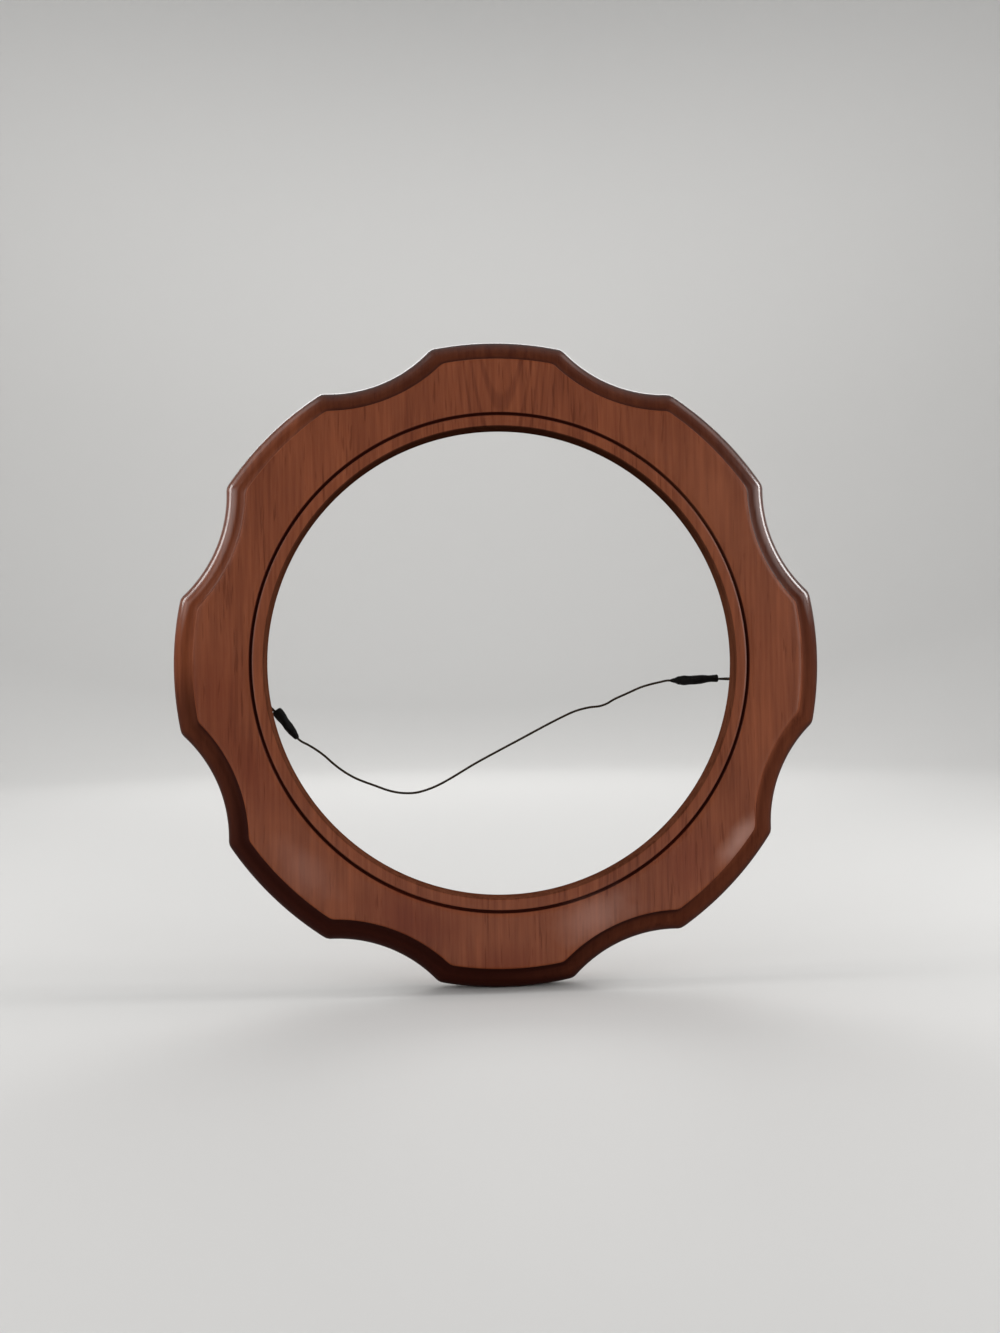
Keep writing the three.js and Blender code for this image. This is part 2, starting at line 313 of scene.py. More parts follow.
# Upright grain of one plain-sawn board: year rings that arch near its middle, fibres and pores
grainSettings = {
    "noises": {  # stretch along the grain, scale, detail, roughness
        "sway": (0.22, 26.0, 2.0, 0.55),
        "fibres": (0.04, 640.0, 3.0, 0.6),
        "streaks": (0.08, 210.0, 3.0, 0.55),
        "patches": (0.4, 34.0, 3.0, 0.55),
        "dashes": (0.07, 980.0, 1.0, 0.4),
        "poreBelt": (0.15, 110.0, 2.0, 0.55),
    },
    "swayWidth": 0.002,  # metres
    "throughBoard": 0.6,  # lean of the year rings from face to back
    "heartHalf": (0.008, 0.03),  # the arches fade between these distances from the heart
    "figureFoot": (-0.02, 0.06),  # and run out between these heights
    "fibres": 1.05,  # shares of the tone from here on
    "streaks": 1.0,
    "streaksAtHeart": -0.4,
    "patches": 0.8,
    "lateWood": 0.05,
    "lateWoodAtHeart": 0.26,
    "pores": 0.36,
}


def makeWoodGrain(s):
    tree, start, end = newShaderGroup(
        "woodGrain",
        [
            ("Light Colour", "Color", (0.25, 0.09, 0.05, 1)),
            ("Dark Colour", "Color", (0.09, 0.025, 0.014, 1)),
            ("Pore Colour", "Color", (0.034, 0.009, 0.005, 1)),
            ("Heart Place", "Float", 0.0015),
            ("Heart Depth", "Float", 0.0103),
            ("Ring Lean", "Float", -0.2),
            ("Ring Spacing", "Float", 0.0052),
            ("Ring Phase", "Float", 0.669),
        ],
        [("Colour", "Color"), ("Pores", "Float"), ("Fibres", "Float")],
    )
    given = {socket.name: NodeValue(tree, socket) for socket in start.outputs if socket.name}
    place, (x, y, z) = objectPlace(tree)
    noise = {}
    for name, (stretch, scale, detail, roughness) in s["noises"].items():
        along = addNode(tree, "ShaderNodeMapping", {"Vector": place, "Scale": (1, 1, stretch)})
        noise[name] = noiseAt(tree, along.outputs[0], scale, detail, roughness)
    aside = x - given["Heart Place"]
    growth = aside * aside / (given["Heart Depth"] * 2) + z * given["Ring Lean"]
    growth = growth + y * s["throughBoard"] + (noise["sway"] - 0.5) * s["swayWidth"]
    years = growth / given["Ring Spacing"] + given["Ring Phase"]
    lateWood = (years * math.tau).apply("COSINE").spread(0.1, 1.0)
    atHeart = 1 - aside.apply("ABSOLUTE").spread(*s["heartHalf"])
    atHeart = atHeart * z.spread(*s["figureFoot"])
    pores = (noise["dashes"] + (noise["poreBelt"] - 0.5) * 0.3).spread(0.64, 0.74)
    tone = (noise["fibres"] - 0.5) * s["fibres"]
    tone = tone + (noise["streaks"] - 0.5) * (atHeart * s["streaksAtHeart"] + s["streaks"])
    tone = tone + (noise["patches"] - 0.5) * s["patches"] + 0.5
    tone = tone - (lateWood - 0.3) * (atHeart * s["lateWoodAtHeart"] + s["lateWood"])
    colour = mixColours(tree, tone.clamped(), given["Dark Colour"], given["Light Colour"])
    colour = mixColours(tree, pores * s["pores"], colour, given["Pore Colour"])
    feed(end, {"Colour": colour, "Pores": pores, "Fibres": noise["fibres"]})
    return tree


# Uneven dulling, for metal and for the sleeve: broad patches with fine specks over them
def makeDulling():
    tree, start, end = newShaderGroup(
        "dulling",
        [("Patch Scale", "Float", 300.0), ("Speck Scale", "Float", 2500.0)],
        [("Patches", "Float"), ("Specks", "Float")],
    )
    place, _ = objectPlace(tree)
    patches = noiseAt(tree, place, start.outputs["Patch Scale"], 4.0, 0.6)
    specks = noiseAt(tree, place, start.outputs["Speck Scale"], 2.0, 0.5)
    feed(end, {"Patches": patches.spread(0.35, 0.68), "Specks": specks.spread(0.5, 0.72)})
    return tree


woodGrain = makeWoodGrain(grainSettings)
dulling = makeDulling()


def newMaterial(name):
    material = bpy.data.materials.new(name)
    material.use_nodes = True
    tree = material.node_tree
    return material, tree, tree.nodes["Principled BSDF"]


def useGroup(tree, group, inputs):
    return addNode(tree, "ShaderNodeGroup", inputs, node_tree=group)


def bump(tree, height, strength, distance):
    node = addNode(tree, "ShaderNodeBump", {"Strength": strength, "Distance": distance, "Height": height})
    return node.outputs[0]


# The ring's driving sizes, as in the CAD model; its radius and depth come from the frame
ringLow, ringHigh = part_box("frame_ring")
ringSettings = {
    "lobeRadius": ringHigh.x / mm,
    "depth": -ringLow.y / mm,
    "openingRadius": 105,
    "openingEase": 1,
    "lipDepth": 8.5,
    "rabbetRadius": 109.5,
    "grooveRadius": 111,
    "grooveWidth": 1.6,
    "grooveDepth": 1.3,
    # the groove's side, from its eased edge to its narrow floor: shares of half the width and of the depth
    "grooveSide": [(1.15, 0), (0.9, 0.06), (0.62, 0.42), (0.38, 0.85), (0.14, 1)],
    "lobeCount": 8,
    "lobeAngle": 24,
    "sagitta": 6,
    "cornerRadius": 5,
    "ogeeStep": 1.5,
    "noseRadius": 6.9,
    "hollowRadius": 4,
    "backEase": 0.8,
    "arrisEase": 0.6,
    "stations": 640,  # steps round the ring
    "steps": {  # along the profile
        "ease": 4, "wall": 4, "nose": 16, "hollow": 12, "flat": 12, "lip": 5, "lipEase": 6, "ledge": 3,
    },
}
mouldingWidth = ringSettings["noseRadius"] + ringSettings["hollowRadius"]
faceRadius = ringSettings["grooveRadius"] + ringSettings["grooveWidth"] / 2

woodColours = {
    "front": {
        "Light Colour": (0.238, 0.067, 0.0276, 1),
        "Dark Colour": (0.106, 0.025, 0.0098, 1),
        "Pore Colour": (0.055, 0.011, 0.0043, 1),
    },
    "innerEdge": {
        "Light Colour": (0.15, 0.05, 0.026, 1),
        "Dark Colour": (0.06, 0.017, 0.008, 1),
        "Pore Colour": (0.03, 0.008, 0.004, 1),
    },
    "back": {
        "Light Colour": (0.27, 0.125, 0.072, 1),
        "Dark Colour": (0.15, 0.06, 0.034, 1),
        "Pore Colour": (0.07, 0.026, 0.015, 1),
    },
}

# Moulded edge darker than the face, partly real stain and partly painted shade: most where it faces up or
# down (across the grain), low down and at the lower left, on the outer curve and by the arris; painted
# light lightens it at the upper left and by the arris on the right; less stain behind the nose. Places
# named together count where they overlap
edgeStainAndShade = {
    "edge": 0.6,
    "edge upperLeft": -0.54,
    "acrossGrain": 0.17,
    "low": 0.35,
    "low rightHalf": -0.33,
    "hollow": 0.05,
    "byArris": 0.16,
    "byArris right": -0.32,
    "outer": 0.16,
    "outer low": -0.14,
    "outer low rightHalf": 0.132,
    "outer right": 0.14,
    "hollow right": -0.14,
    "plainSide": -0.34,
}
# Colours mixed over the wood: the edge's dark stain, which also gives its painted shade; the groove's dark
# stain; a light rub, which is also a painted highlight at the upper left
edgeAndGrooveColours = {
    "edge": (0.023, 0.0042, 0.0023, 1),
    "groove": (0.026, 0.004, 0.0024, 1),
    "rubbed": (0.30, 0.12, 0.07, 1),
}

# Patches on the face, with painted sheen and painted shade: degrees from +X to +Z, radius, half the angle,
# half the width, how strong
faceTints = {
    "haze": {  # painted sheen: lighter, greyer patches standing in for reflections on the lacquer
        "colour": (0.36, 0.195, 0.155, 1),
        "spots": [(-71, 121, 12, 13, 0.42), (-38, 133.5, 7.5, 7, 0.68), (-134, 127, 10, 11, 0.2)],
    },
    "pale": {  # lighter patch at the upper right of the face
        "colour": (0.3, 0.104, 0.05, 1),
        "spots": [(36, 121, 30, 20, 0.2)],
    },
    "deep": {  # painted shade, darker and redder, with a reddish painted reflection, at the left, lower left, bottom and lower right
        "colour": (0.1, 0.012, 0.003, 1),
        "spots": [(185, 128, 14, 17, 0.3), (204, 121, 13, 15, 0.45), (250, 122, 15, 16, 0.52),
                  (270, 133, 10, 12, 0.4), (312, 120, 9, 17, 0.42)],
    },
}

# How full the lacquer is: even on the face, full on the upper nose, and it hardly reached the rest
lacquerSettings = {
    "face": 0.4,
    "facePatches": 0.3,
    "edge": 0.12,
    "upperEdge": 0.85,
    "thinner": {"hollow": 0.88, "low": 1.0, "groove": 0.6, "arris": 0.5},  # what these places lose
    "plainSide": 0.6,
    "pores": 0.15,
    "roughness": 0.2,
    "ior": 1.48,
}


# Masks for places on the ring's front; the scalloped rim stores how far in from the edge each point is
def frontPlaces(tree, x, y, z, radius):
    inset = value(addNode(tree, "ShaderNodeAttribute", attribute_name="inset"), "Fac")
    arris = mouldingWidth * mm
    nose = ringSettings["noseRadius"] * mm
    halfGroove = ringSettings["grooveWidth"] * mm / 2
    height = z / radius
    side = x / radius

    def towards(degrees):  # 1 on that side of the ring, in degrees from +X to +Z
        return side * math.cos(math.radians(degrees)) + height * math.sin(math.radians(degrees))

    def within(distance, near, far):
        return 1 - distance.spread(near, far)

    onEdge = within(inset, arris - 0.001, arris + 0.0003)
    offArris = (inset - arris).apply("ABSOLUTE")
    offGroove = (radius - ringSettings["grooveRadius"] * mm).apply("ABSOLUTE")
    return {
        "edge": onEdge,
        "outer": within(inset, 0.0, nose * 0.55) * onEdge,
        "hollow": inset.spread(nose * 0.45, nose * 1.1) * onEdge,
        "byArris": inset.spread(nose * 1.05, arris - 0.0006) * onEdge,
        "plainSide": y.spread(-0.0085, -0.0055) * onEdge,  # behind the nose
        "low": (height * -1).spread(0.0, 0.65) * onEdge,
        "upper": height.spread(0.05, 0.25),
        "upperLeft": towards(155).spread(0.835, 0.925),
        "right": towards(-20).spread(0.8, 0.95),
        "rightHalf": side.spread(-0.1, 0.6),
        "acrossGrain": facingUp(tree).apply("ABSOLUTE").spread(0.1, 0.8),
        "arris": within(offArris, 0.0004, 0.0012),
        "arrisLine": within(offArris, 0.00005, 0.0006),
        "groove": within(offGroove, halfGroove * 0.7, halfGroove * 1.25) * y.apply("LESS_THAN", -0.0165),
    }


# Satin lacquer over stained wood, with dark stain in the groove, a light rub along the arris that is also
# a painted highlight at the upper left, painted shade and light on the moulded edge, and painted sheen and
# shade on the face
def makeFrontFinish(lacquer):
    material, tree, shader = newMaterial("lacqueredWood")
    grain = useGroup(tree, woodGrain, woodColours["front"])
    pores, fibres = value(grain, "Pores"), value(grain, "Fibres")
    place, (x, y, z) = objectPlace(tree)
    radius = (x * x + z * z).apply("SQRT")
    on = frontPlaces(tree, x, y, z, radius)
    # the edge's stain together with its painted shade and painted light by direction
    stainAndShade = 0.0
    for places, share in edgeStainAndShade.items():
        for name in places.split():
            share = on[name] * share
        stainAndShade = share + stainAndShade
    colour = mixColours(tree, stainAndShade.clamped(), grain.outputs["Colour"], edgeAndGrooveColours["edge"])
    colour = mixColours(tree, on["groove"] * 0.95, colour, edgeAndGrooveColours["groove"])
    uneven = noiseAt(tree, place, 70.0)
    # light rub along the arris: wear in random places, and a painted highlight all along the upper left
    rubAndHighlight = on["arrisLine"] * uneven.spread(0.5, 0.68).apply("MAXIMUM", on["upperLeft"])
    colour = mixColours(tree, rubAndHighlight * 0.25, colour, edgeAndGrooveColours["rubbed"])
    # patches on the face: painted sheen, painted shade with a reddish painted reflection, and a lighter
    # patch
    turn = z.apply("ARCTAN2", x)
    for tint in faceTints.values():
        for spotTurn, spotRadius, halfTurn, halfWide, strength in tint["spots"]:
            offTurn = (turn - math.radians(spotTurn)).apply("WRAP", math.pi, -math.pi)
            along = offTurn / math.radians(halfTurn)
            across = (radius - spotRadius * mm) / (halfWide * mm)
            far = (along * along + across * across).apply("SQRT") + (uneven - 0.5) * 0.8
            share = (1 - far.spread(0.0, 1.1)) * (1 - on["edge"]) * strength
            colour = mixColours(tree, share, colour, tint["colour"])
    onFace = noiseAt(tree, place, 18.0, 2.0) * lacquer["facePatches"] + lacquer["face"]
    onRim = on["upper"] * lacquer["upperEdge"] + lacquer["edge"]
    coat = onFace * (1 - on["edge"]) + onRim * on["edge"]
    coat = coat * (1 - on["plainSide"] * lacquer["plainSide"]) - pores * lacquer["pores"]
    for name, share in lacquer["thinner"].items():
        coat = coat - on[name] * share
    feed(shader, {
        "Base Color": colour,
        "Roughness": fibres * 0.15 + 0.42,
        "Specular IOR Level": 0.03,
        "Normal": bump(tree, pores * -1.0 + fibres * 0.35, 0.25, 0.0001),
        "Coat Weight": coat.clamped(),
        "Coat Roughness": lacquer["roughness"],
        "Coat IOR": lacquer["ior"],
    })
    return material


# Inner edge of the opening: darker wood with no lacquer, and painted shade where it faces down
def makeInnerFinish():
    material, tree, shader = newMaterial("stainedEdge")
    grain = useGroup(tree, woodGrain, woodColours["innerEdge"])
    stainAndShade = (facingUp(tree) * -1).spread(-0.3, 0.9) * 0.85  # painted shade where the wall faces down, most at the top of the opening
    colour = mixColours(tree, stainAndShade, grain.outputs["Colour"], (0.012, 0.003, 0.0015, 1))
    fibres = value(grain, "Fibres")
    feed(shader, {
        "Base Color": colour,
        "Roughness": fibres * 0.1 + 0.55,
        "Specular IOR Level": 0.0,
        "Normal": bump(tree, fibres, 0.2, 0.0001),
    })
    return material


# The back and the rabbet: stained, wiped and left without lacquer
def makeBackFinish():
    material, tree, shader = newMaterial("wipedWood")
    grain = useGroup(tree, woodGrain, woodColours["back"])
    place, _ = objectPlace(tree)
    rubbed = noiseAt(tree, place, 34.0, 4.0, 0.6)
    share = rubbed.spread(0.42, 0.62) * 0.35
    colour = mixColours(tree, share, grain.outputs["Colour"], (0.12, 0.05, 0.03, 1))
    height = value(grain, "Pores") * -1.0 + value(grain, "Fibres") * 0.6
    feed(shader, {
        "Base Color": colour,
        "Roughness": rubbed * 0.12 + 0.56,
        "Normal": bump(tree, height, 0.4, 0.00015),
    })
    return material


# Metals: bright colour, dull colour, roughness, and what the dull patches add to it
metalSettings = {
    "dullBrass": ((0.62, 0.42, 0.16, 1), (0.28, 0.17, 0.06, 1), 0.26, 0.16),
    "zincPlate": ((0.60, 0.61, 0.63, 1), (0.36, 0.37, 0.38, 1), 0.30, 0.18),
    "darkWire": ((0.05, 0.034, 0.022, 1), (0.016, 0.011, 0.008, 1), 0.42, 0.18),
}


def makeMetalFinish(name):
    material, tree, shader = newMaterial(name)
    bright, dull, roughness, spread = metalSettings[name]
    uneven = useGroup(tree, dulling, {"Patch Scale": 340.0, "Speck Scale": 3200.0})
    patches, specks = value(uneven, "Patches"), value(uneven, "Specks")
    share = (patches * 0.55 + specks * 0.3).clamped()
    feed(shader, {
        "Base Color": mixColours(tree, share, bright, dull),
        "Metallic": 1.0,
        "Roughness": patches * spread + specks * 0.08 + roughness,
        "Normal": bump(tree, specks, 0.12, 0.00005),
    })
    return material


def makeSleeveFinish():
    material, tree, shader = newMaterial("shrunkSleeve")
    uneven = useGroup(tree, dulling, {"Patch Scale": 420.0, "Speck Scale": 2600.0})
    patches, specks = value(uneven, "Patches"), value(uneven, "Specks")
    feed(shader, {
        "Base Color": mixColours(tree, patches, (0.0035, 0.003, 0.003, 1), (0.008, 0.007, 0.0065, 1)),
        "Roughness": patches * 0.12 + 0.6,
        "Specular IOR Level": 0.08,
        "Normal": bump(tree, patches + specks * 0.4, 0.2, 0.0001),
    })
    return material


frontFinish = makeFrontFinish(lacquerSettings)
innerFinish = makeInnerFinish()
backFinish = makeBackFinish()
brassFinish = makeMetalFinish("dullBrass")
zincFinish = makeMetalFinish("zincPlate")
wireFinish = makeMetalFinish("darkWire")
sleeveFinish = makeSleeveFinish()
print("finishes made")


# Slack picture wire: twisted strands along the same route as its solid
hinge = next(j for j in frame["joints"] if j["name"] == "wire_swing")
wireY = hinge["pos_m"][1] / mm
wireSettings = {
    "route": [  # X and Z from the left sleeve to the right one
        (-94.5, -33.5), (-92.6, -35.1), (-89.1, -37), (-85.4, -39.4), (-81.9, -42.1),
        (-77.4, -46.2), (-72.8, -49.7), (-68.3, -52.4), (-64.3, -54.2), (-58.6, -56.4), (-53.4, -58.4),
        (-48.8, -59.6), (-44.3, -60.1), (-39.6, -59.9), (-33.9, -58.4), (-29.2, -56.5), (-24, -53.8),
        (-12.4, -47.1), (-0.5, -40.9), (10.1, -35.5), (20.8, -30), (29.2, -25.9), (35.6, -23.2),
        (42.4, -21.6), (46.6, -21.2), (50, -20.2), (54.2, -17.9), (59.6, -15.6), (66.4, -12.7),
        (70.8, -11.4), (75.7, -10.3), (79.3, -9.6), (81.3, -9.6),
    ],
    "perStretch": 8,  # steps between two points of the route
    "radius": 0.55,
    "length": 196,
    "strands": 6,  # round one straight core
    "strandSides": 7,
    "lay": 6.5,  # length of one turn of the strands
    "step": 0.45,
    "fitGap": 0.3,
}


def makeStrandTree(material):
    sizes = {"Strands": "Int", "Strand Radius": "Float", "Strand Sides": "Int",
             "Lay Length": "Float", "Step": "Float"}
    tree, start, end = newGeometryTree("twistedStrands", sizes)
    given = {label: value(start, label) for label in sizes}
    line = addNode(tree, "GeometryNodeMeshToCurve", {"Mesh": start.outputs["Geometry"]})
    spacing = {"Curve": line.outputs[0], "Length": given["Step"]}
    even = addNode(tree, "GeometryNodeResampleCurve", spacing, mode="LENGTH")
    amount = {"Geometry": even.outputs[0], "Amount": given["Strands"] + 1}
    copies = addNode(tree, "GeometryNodeDuplicateElements", amount, domain="SPLINE")
    strand = value(copies, "Duplicate Index")
    along = value(addNode(tree, "GeometryNodeSplineParameter"), "Length")
    turn = (strand / given["Strands"] + along / given["Lay Length"]) * math.tau
    throw = given["Strand Radius"] * 2 * strand.apply("GREATER_THAN", 0.5)  # the first one is the core
    normal = addNode(tree, "GeometryNodeInputNormal").outputs[0]
    tangent = addNode(tree, "GeometryNodeInputTangent").outputs[0]
    cross = vectorMath(tree, "CROSS_PRODUCT", {0: tangent, 1: normal})
    first = vectorMath(tree, "SCALE", {0: normal, "Scale": throw * turn.apply("COSINE")})
    second = vectorMath(tree, "SCALE", {0: cross, "Scale": throw * turn.apply("SINE")})
    offset = vectorMath(tree, "ADD", {0: first, 1: second})
    moved = addNode(tree, "GeometryNodeSetPosition", {"Geometry": copies.outputs[0], "Offset": offset})
    circle = {"Resolution": given["Strand Sides"], "Radius": given["Strand Radius"]}
    section = addNode(tree, "GeometryNodeCurvePrimitiveCircle", circle)
    skin = addNode(tree, "GeometryNodeCurveToMesh", {
        "Curve": moved.outputs[0],
        "Profile Curve": section.outputs[0],
        "Fill Caps": True,
    })
    endTree(tree, end, skin.outputs[0], material)
    return tree


strandTree = makeStrandTree(wireFinish)


def strandedWire(name, path, settings):
    edges = [(i, i + 1) for i in range(len(path) - 1)]
    obj = meshObject(name, [p * mm for p in path], edges=edges)
    bakeTree(obj, strandTree, {
        "Strands": settings["strands"],
        "Strand Radius": settings["radius"] * mm / 3,  # three strands lie across the wire
        "Strand Sides": settings["strandSides"],
        "Lay Length": settings["lay"] * mm,
        "Step": settings["step"] * mm,
    })
    smoothShade(obj, 60)
    return obj


# Sleeves shrunk over the twisted wire ends, thickest where most turns lie
sleeveSettings = {
    "left": {
        "turn": 126,  # degrees from +X to +Z
        "length": 16.4,
        "radii": [  # share of the length, radius there
            (0, 1.1), (0.08, 1.55), (0.25, 1.9), (0.5, 2.2), (0.75, 2.45), (0.9, 2.4), (1, 2.2),
        ],
        "rise": 0,
        "strandShift": 0.9,
    },
    "right": {
        "turn": 0,
        "length": 22.8,
        "radii": [
            (0, 0.75), (0.07, 1.2), (0.18, 1.95), (0.3, 2.35),
            (0.44, 2.35), (0.62, 2.05), (0.82, 1.8), (1, 1.8),
        ],
        "rise": 0.75,  # the outer part climbs a little
        "strandShift": -0.3,
    },
}
sleeveShape = {
    "overWire": 0.3,  # how far it reaches over the end of the wire
    "endEase": 0.7,
    "twist": 0.07,
    "twistLength": 9.5,
    "sides": 36,
    "steps": 80,
}


def smoothStep(share):
    share = min(max(share, 0.0), 1.0)
    return share * share * (3 - 2 * share)


def squareTo(direction):  # square to it, in the plane of the ring
    return Vector((-direction.z, 0, direction.x))


def sleeveDirection(s):
    turn = math.radians(s["turn"])
    return Vector((math.cos(turn), 0, math.sin(turn)))


def sleeveRadius(along, s):
    share = along / s["length"]
    for (low, lowRadius), (high, highRadius) in zip(s["radii"], s["radii"][1:]):
        if share <= high:
            break
    radius = lowRadius + (highRadius - lowRadius) * smoothStep((share - low) / (high - low))
    left = (s["length"] - along) / sleeveShape["endEase"]
    if left < 1:
        radius -= sleeveShape["endEase"] * (1 - math.sqrt(max(0.0, 1 - (1 - left) ** 2)))
    return radius


def sleeveCentre(along, start, s):
    direction = sleeveDirection(s)
    rise = s["rise"] * smoothStep(along / s["length"] * 1.5 - 0.5)  # over the outer two thirds
    return start + direction * along + squareTo(direction) * rise


def makeSleeve(name, start, s):
    side = Vector((0, 1, 0))
    up = sleeveDirection(s).cross(side)
    rings = []
    for i in range(sleeveShape["steps"] + 1):
        along = s["length"] * (1 - math.cos(math.pi * i / sleeveShape["steps"])) / 2  # closer at the ends
        centre = sleeveCentre(along, start, s)
        radius = sleeveRadius(along, s)
        ring = []
        for turn in turnsRound(sleeveShape["sides"]):
            wave = math.cos(2 * turn - math.tau * along / sleeveShape["twistLength"])
            swell = radius * (1 + sleeveShape["twist"] * (wave - 0.4))
            around = side * math.cos(turn) + up * math.sin(turn)
            ring.append((centre + around * swell) * mm)
        rings.append(ring)
    obj = skinRings(name, rings)
    obj.data.materials.append(sleeveFinish)
    smoothShade(obj, 50)
    return obj


# Screw eyes: one wire, pointed, bent out of the shank and curled round
eyeSettings = {
    "x": 115,
    "z": hinge["pos_m"][2] / mm,
    "wireRadius": 1.05,
    "curlRadius": 4.25,  # middle line
    "opening": 22,  # degrees
    "screwLength": 11,
    "pointLength": 3,
    "pointShare": 0.08,  # of the wire's radius
    "shankStops": (-5, -2),  # along Y
    "bend": 0.85,
    "bendSteps": 6,
    "curlSteps": 60,
    "cutLength": 0.15,  # chamfer of the cut end
    "cutShare": 0.85,
    "sides": 20,
}

# Each wire loop runs out of a sleeve, round the lowest part of an eye and back
loopSettings = {
    "inSleeve": 0.4,
    "legGap": 1.08,  # wire radii from the middle to each leg
    "closedAt": 4.6,  # from the eye's wire
    "openAt": 2.4,
    "openHalf": 1.35,
    "openGap": 0.4,  # share of the leg gap
    "arcSteps": 6,
    "perStretch": 10,
}


def loopPath(finish, direction, side, shift):
    s = loopSettings
    bow = Vector((side * eyeSettings["x"], wireY, eyeSettings["z"] - eyeSettings["curlRadius"]))
    wrap = eyeSettings["wireRadius"] + wireSettings["fitGap"] + wireSettings["radius"]
    behind = Vector((0, wireSettings["radius"] * s["legGap"], 0))  # one leg lies behind the other
    root = finish - direction * s["inSleeve"] + squareTo(direction) * shift
    pull = (bow - root).normalized()
    across = squareTo(pull)
    turns = [math.pi * i / s["arcSteps"] for i in range(s["arcSteps"] + 1)]
    arc = [bow + across * wrap * math.cos(t) + pull * wrap * math.sin(t) for t in turns]
    closed = bow - pull * s["closedAt"]
    opened = bow - pull * s["openAt"]
    apart = across * s["openHalf"]
    less = behind * s["openGap"]
    legs = [root - behind, closed - behind, opened + apart - less]
    back = [opened - apart + less, closed + behind, root + behind]
    return smoothLine(legs + arc + back, s["perStretch"])


def makeWire(settings):
    route = [Vector((x, wireY, z)) for x, z in settings["route"]]
    path = smoothLine(route, settings["perStretch"])
    wire = strandedWire("picture_wire", path, settings)
    onWire = []
    for hand, side, tip in (("left", -1, route[0]), ("right", 1, route[-1])):
        shape = sleeveSettings[hand]
        direction = sleeveDirection(shape)
        start = tip - direction * sleeveShape["overWire"]
        sleeve = makeSleeve(hand + "_sleeve", start, shape)
        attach(sleeve, "wire")
        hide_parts(hand + "_wire_sleeve")
        finish = sleeveCentre(shape["length"], start, shape)
        loopLine = loopPath(finish, direction, side, shape["strandShift"])
        loop = strandedWire(hand + "_loop", loopLine, settings)
        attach(loop, "wire")
        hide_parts(hand + "_wire_loop")
        onWire += [sleeve, loop]
    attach(wire, "wire")
    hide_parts("hanging_wire")
    tuple(path[0] * mm)
    [tuple(p * mm) for p in path]
    print("wire, sleeves and loops made; wire length", round(lineLength(path), 1), "mm")


makeWire(wireSettings)


# Wooden ring: a blank turned to one profile, whose rim is then cut into lobes and scallops
def ringProfile(s):
    face = -s["depth"]
    hollowY = face + s["ogeeStep"]
    noseY = hollowY + mouldingWidth
    rim = s["lobeRadius"]
    arris = rim - mouldingWidth
    ledgeY = face + s["lipDepth"]
    steps = s["steps"]
    profile = []

    def arc(centreR, centreY, radius, fromTurn, toTurn, count):
        for i in range(count + 1):
            turn = math.radians(fromTurn + (toTurn - fromTurn) * i / count)
            profile.append((centreR + radius * math.cos(turn), centreY + radius * math.sin(turn)))

    def line(fromR, fromY, toR, toY, count):  # the points between its ends
        for i in range(1, count):
            profile.append((fromR + (toR - fromR) * i / count, fromY + (toY - fromY) * i / count))

    back = s["backEase"]
    arc(rim - back, -back, back, 90, 0, steps["ease"])
    line(rim, -back, rim, noseY, steps["wall"])
    arc(rim - s["noseRadius"], noseY, s["noseRadius"], 0, -90, steps["nose"])
    arc(arris + s["hollowRadius"], hollowY, s["hollowRadius"], 90, 180, steps["hollow"])
    ease = s["arrisEase"]
    arc(arris - ease, face + ease, ease, 0, -90, steps["ease"])
    line(arris - ease, face, faceRadius + ease, face, steps["flat"])
    half = s["grooveWidth"] / 2
    grooveSide = s["grooveSide"]
    for share, depth in grooveSide + [(-share, depth) for share, depth in reversed(grooveSide)]:
        profile.append((s["grooveRadius"] + half * share, face + s["grooveDepth"] * depth))
    opening, lip = s["openingRadius"], s["openingEase"]
    line(s["grooveRadius"] - half * grooveSide[0][0], face, opening + lip, face, steps["lip"])
    arc(opening + lip, face + lip, lip, -90, -180, steps["lipEase"])
    line(opening, face + lip, opening, ledgeY, steps["wall"])
    profile.append((opening, ledgeY))
    line(opening, ledgeY, s["rabbetRadius"], ledgeY, steps["ledge"])
    profile.append((s["rabbetRadius"], ledgeY))
    line(s["rabbetRadius"], ledgeY, s["rabbetRadius"], 0, steps["wall"])
    profile.append((s["rabbetRadius"], 0))
    line(s["rabbetRadius"], 0, rim - back, 0, steps["flat"])
    return profile


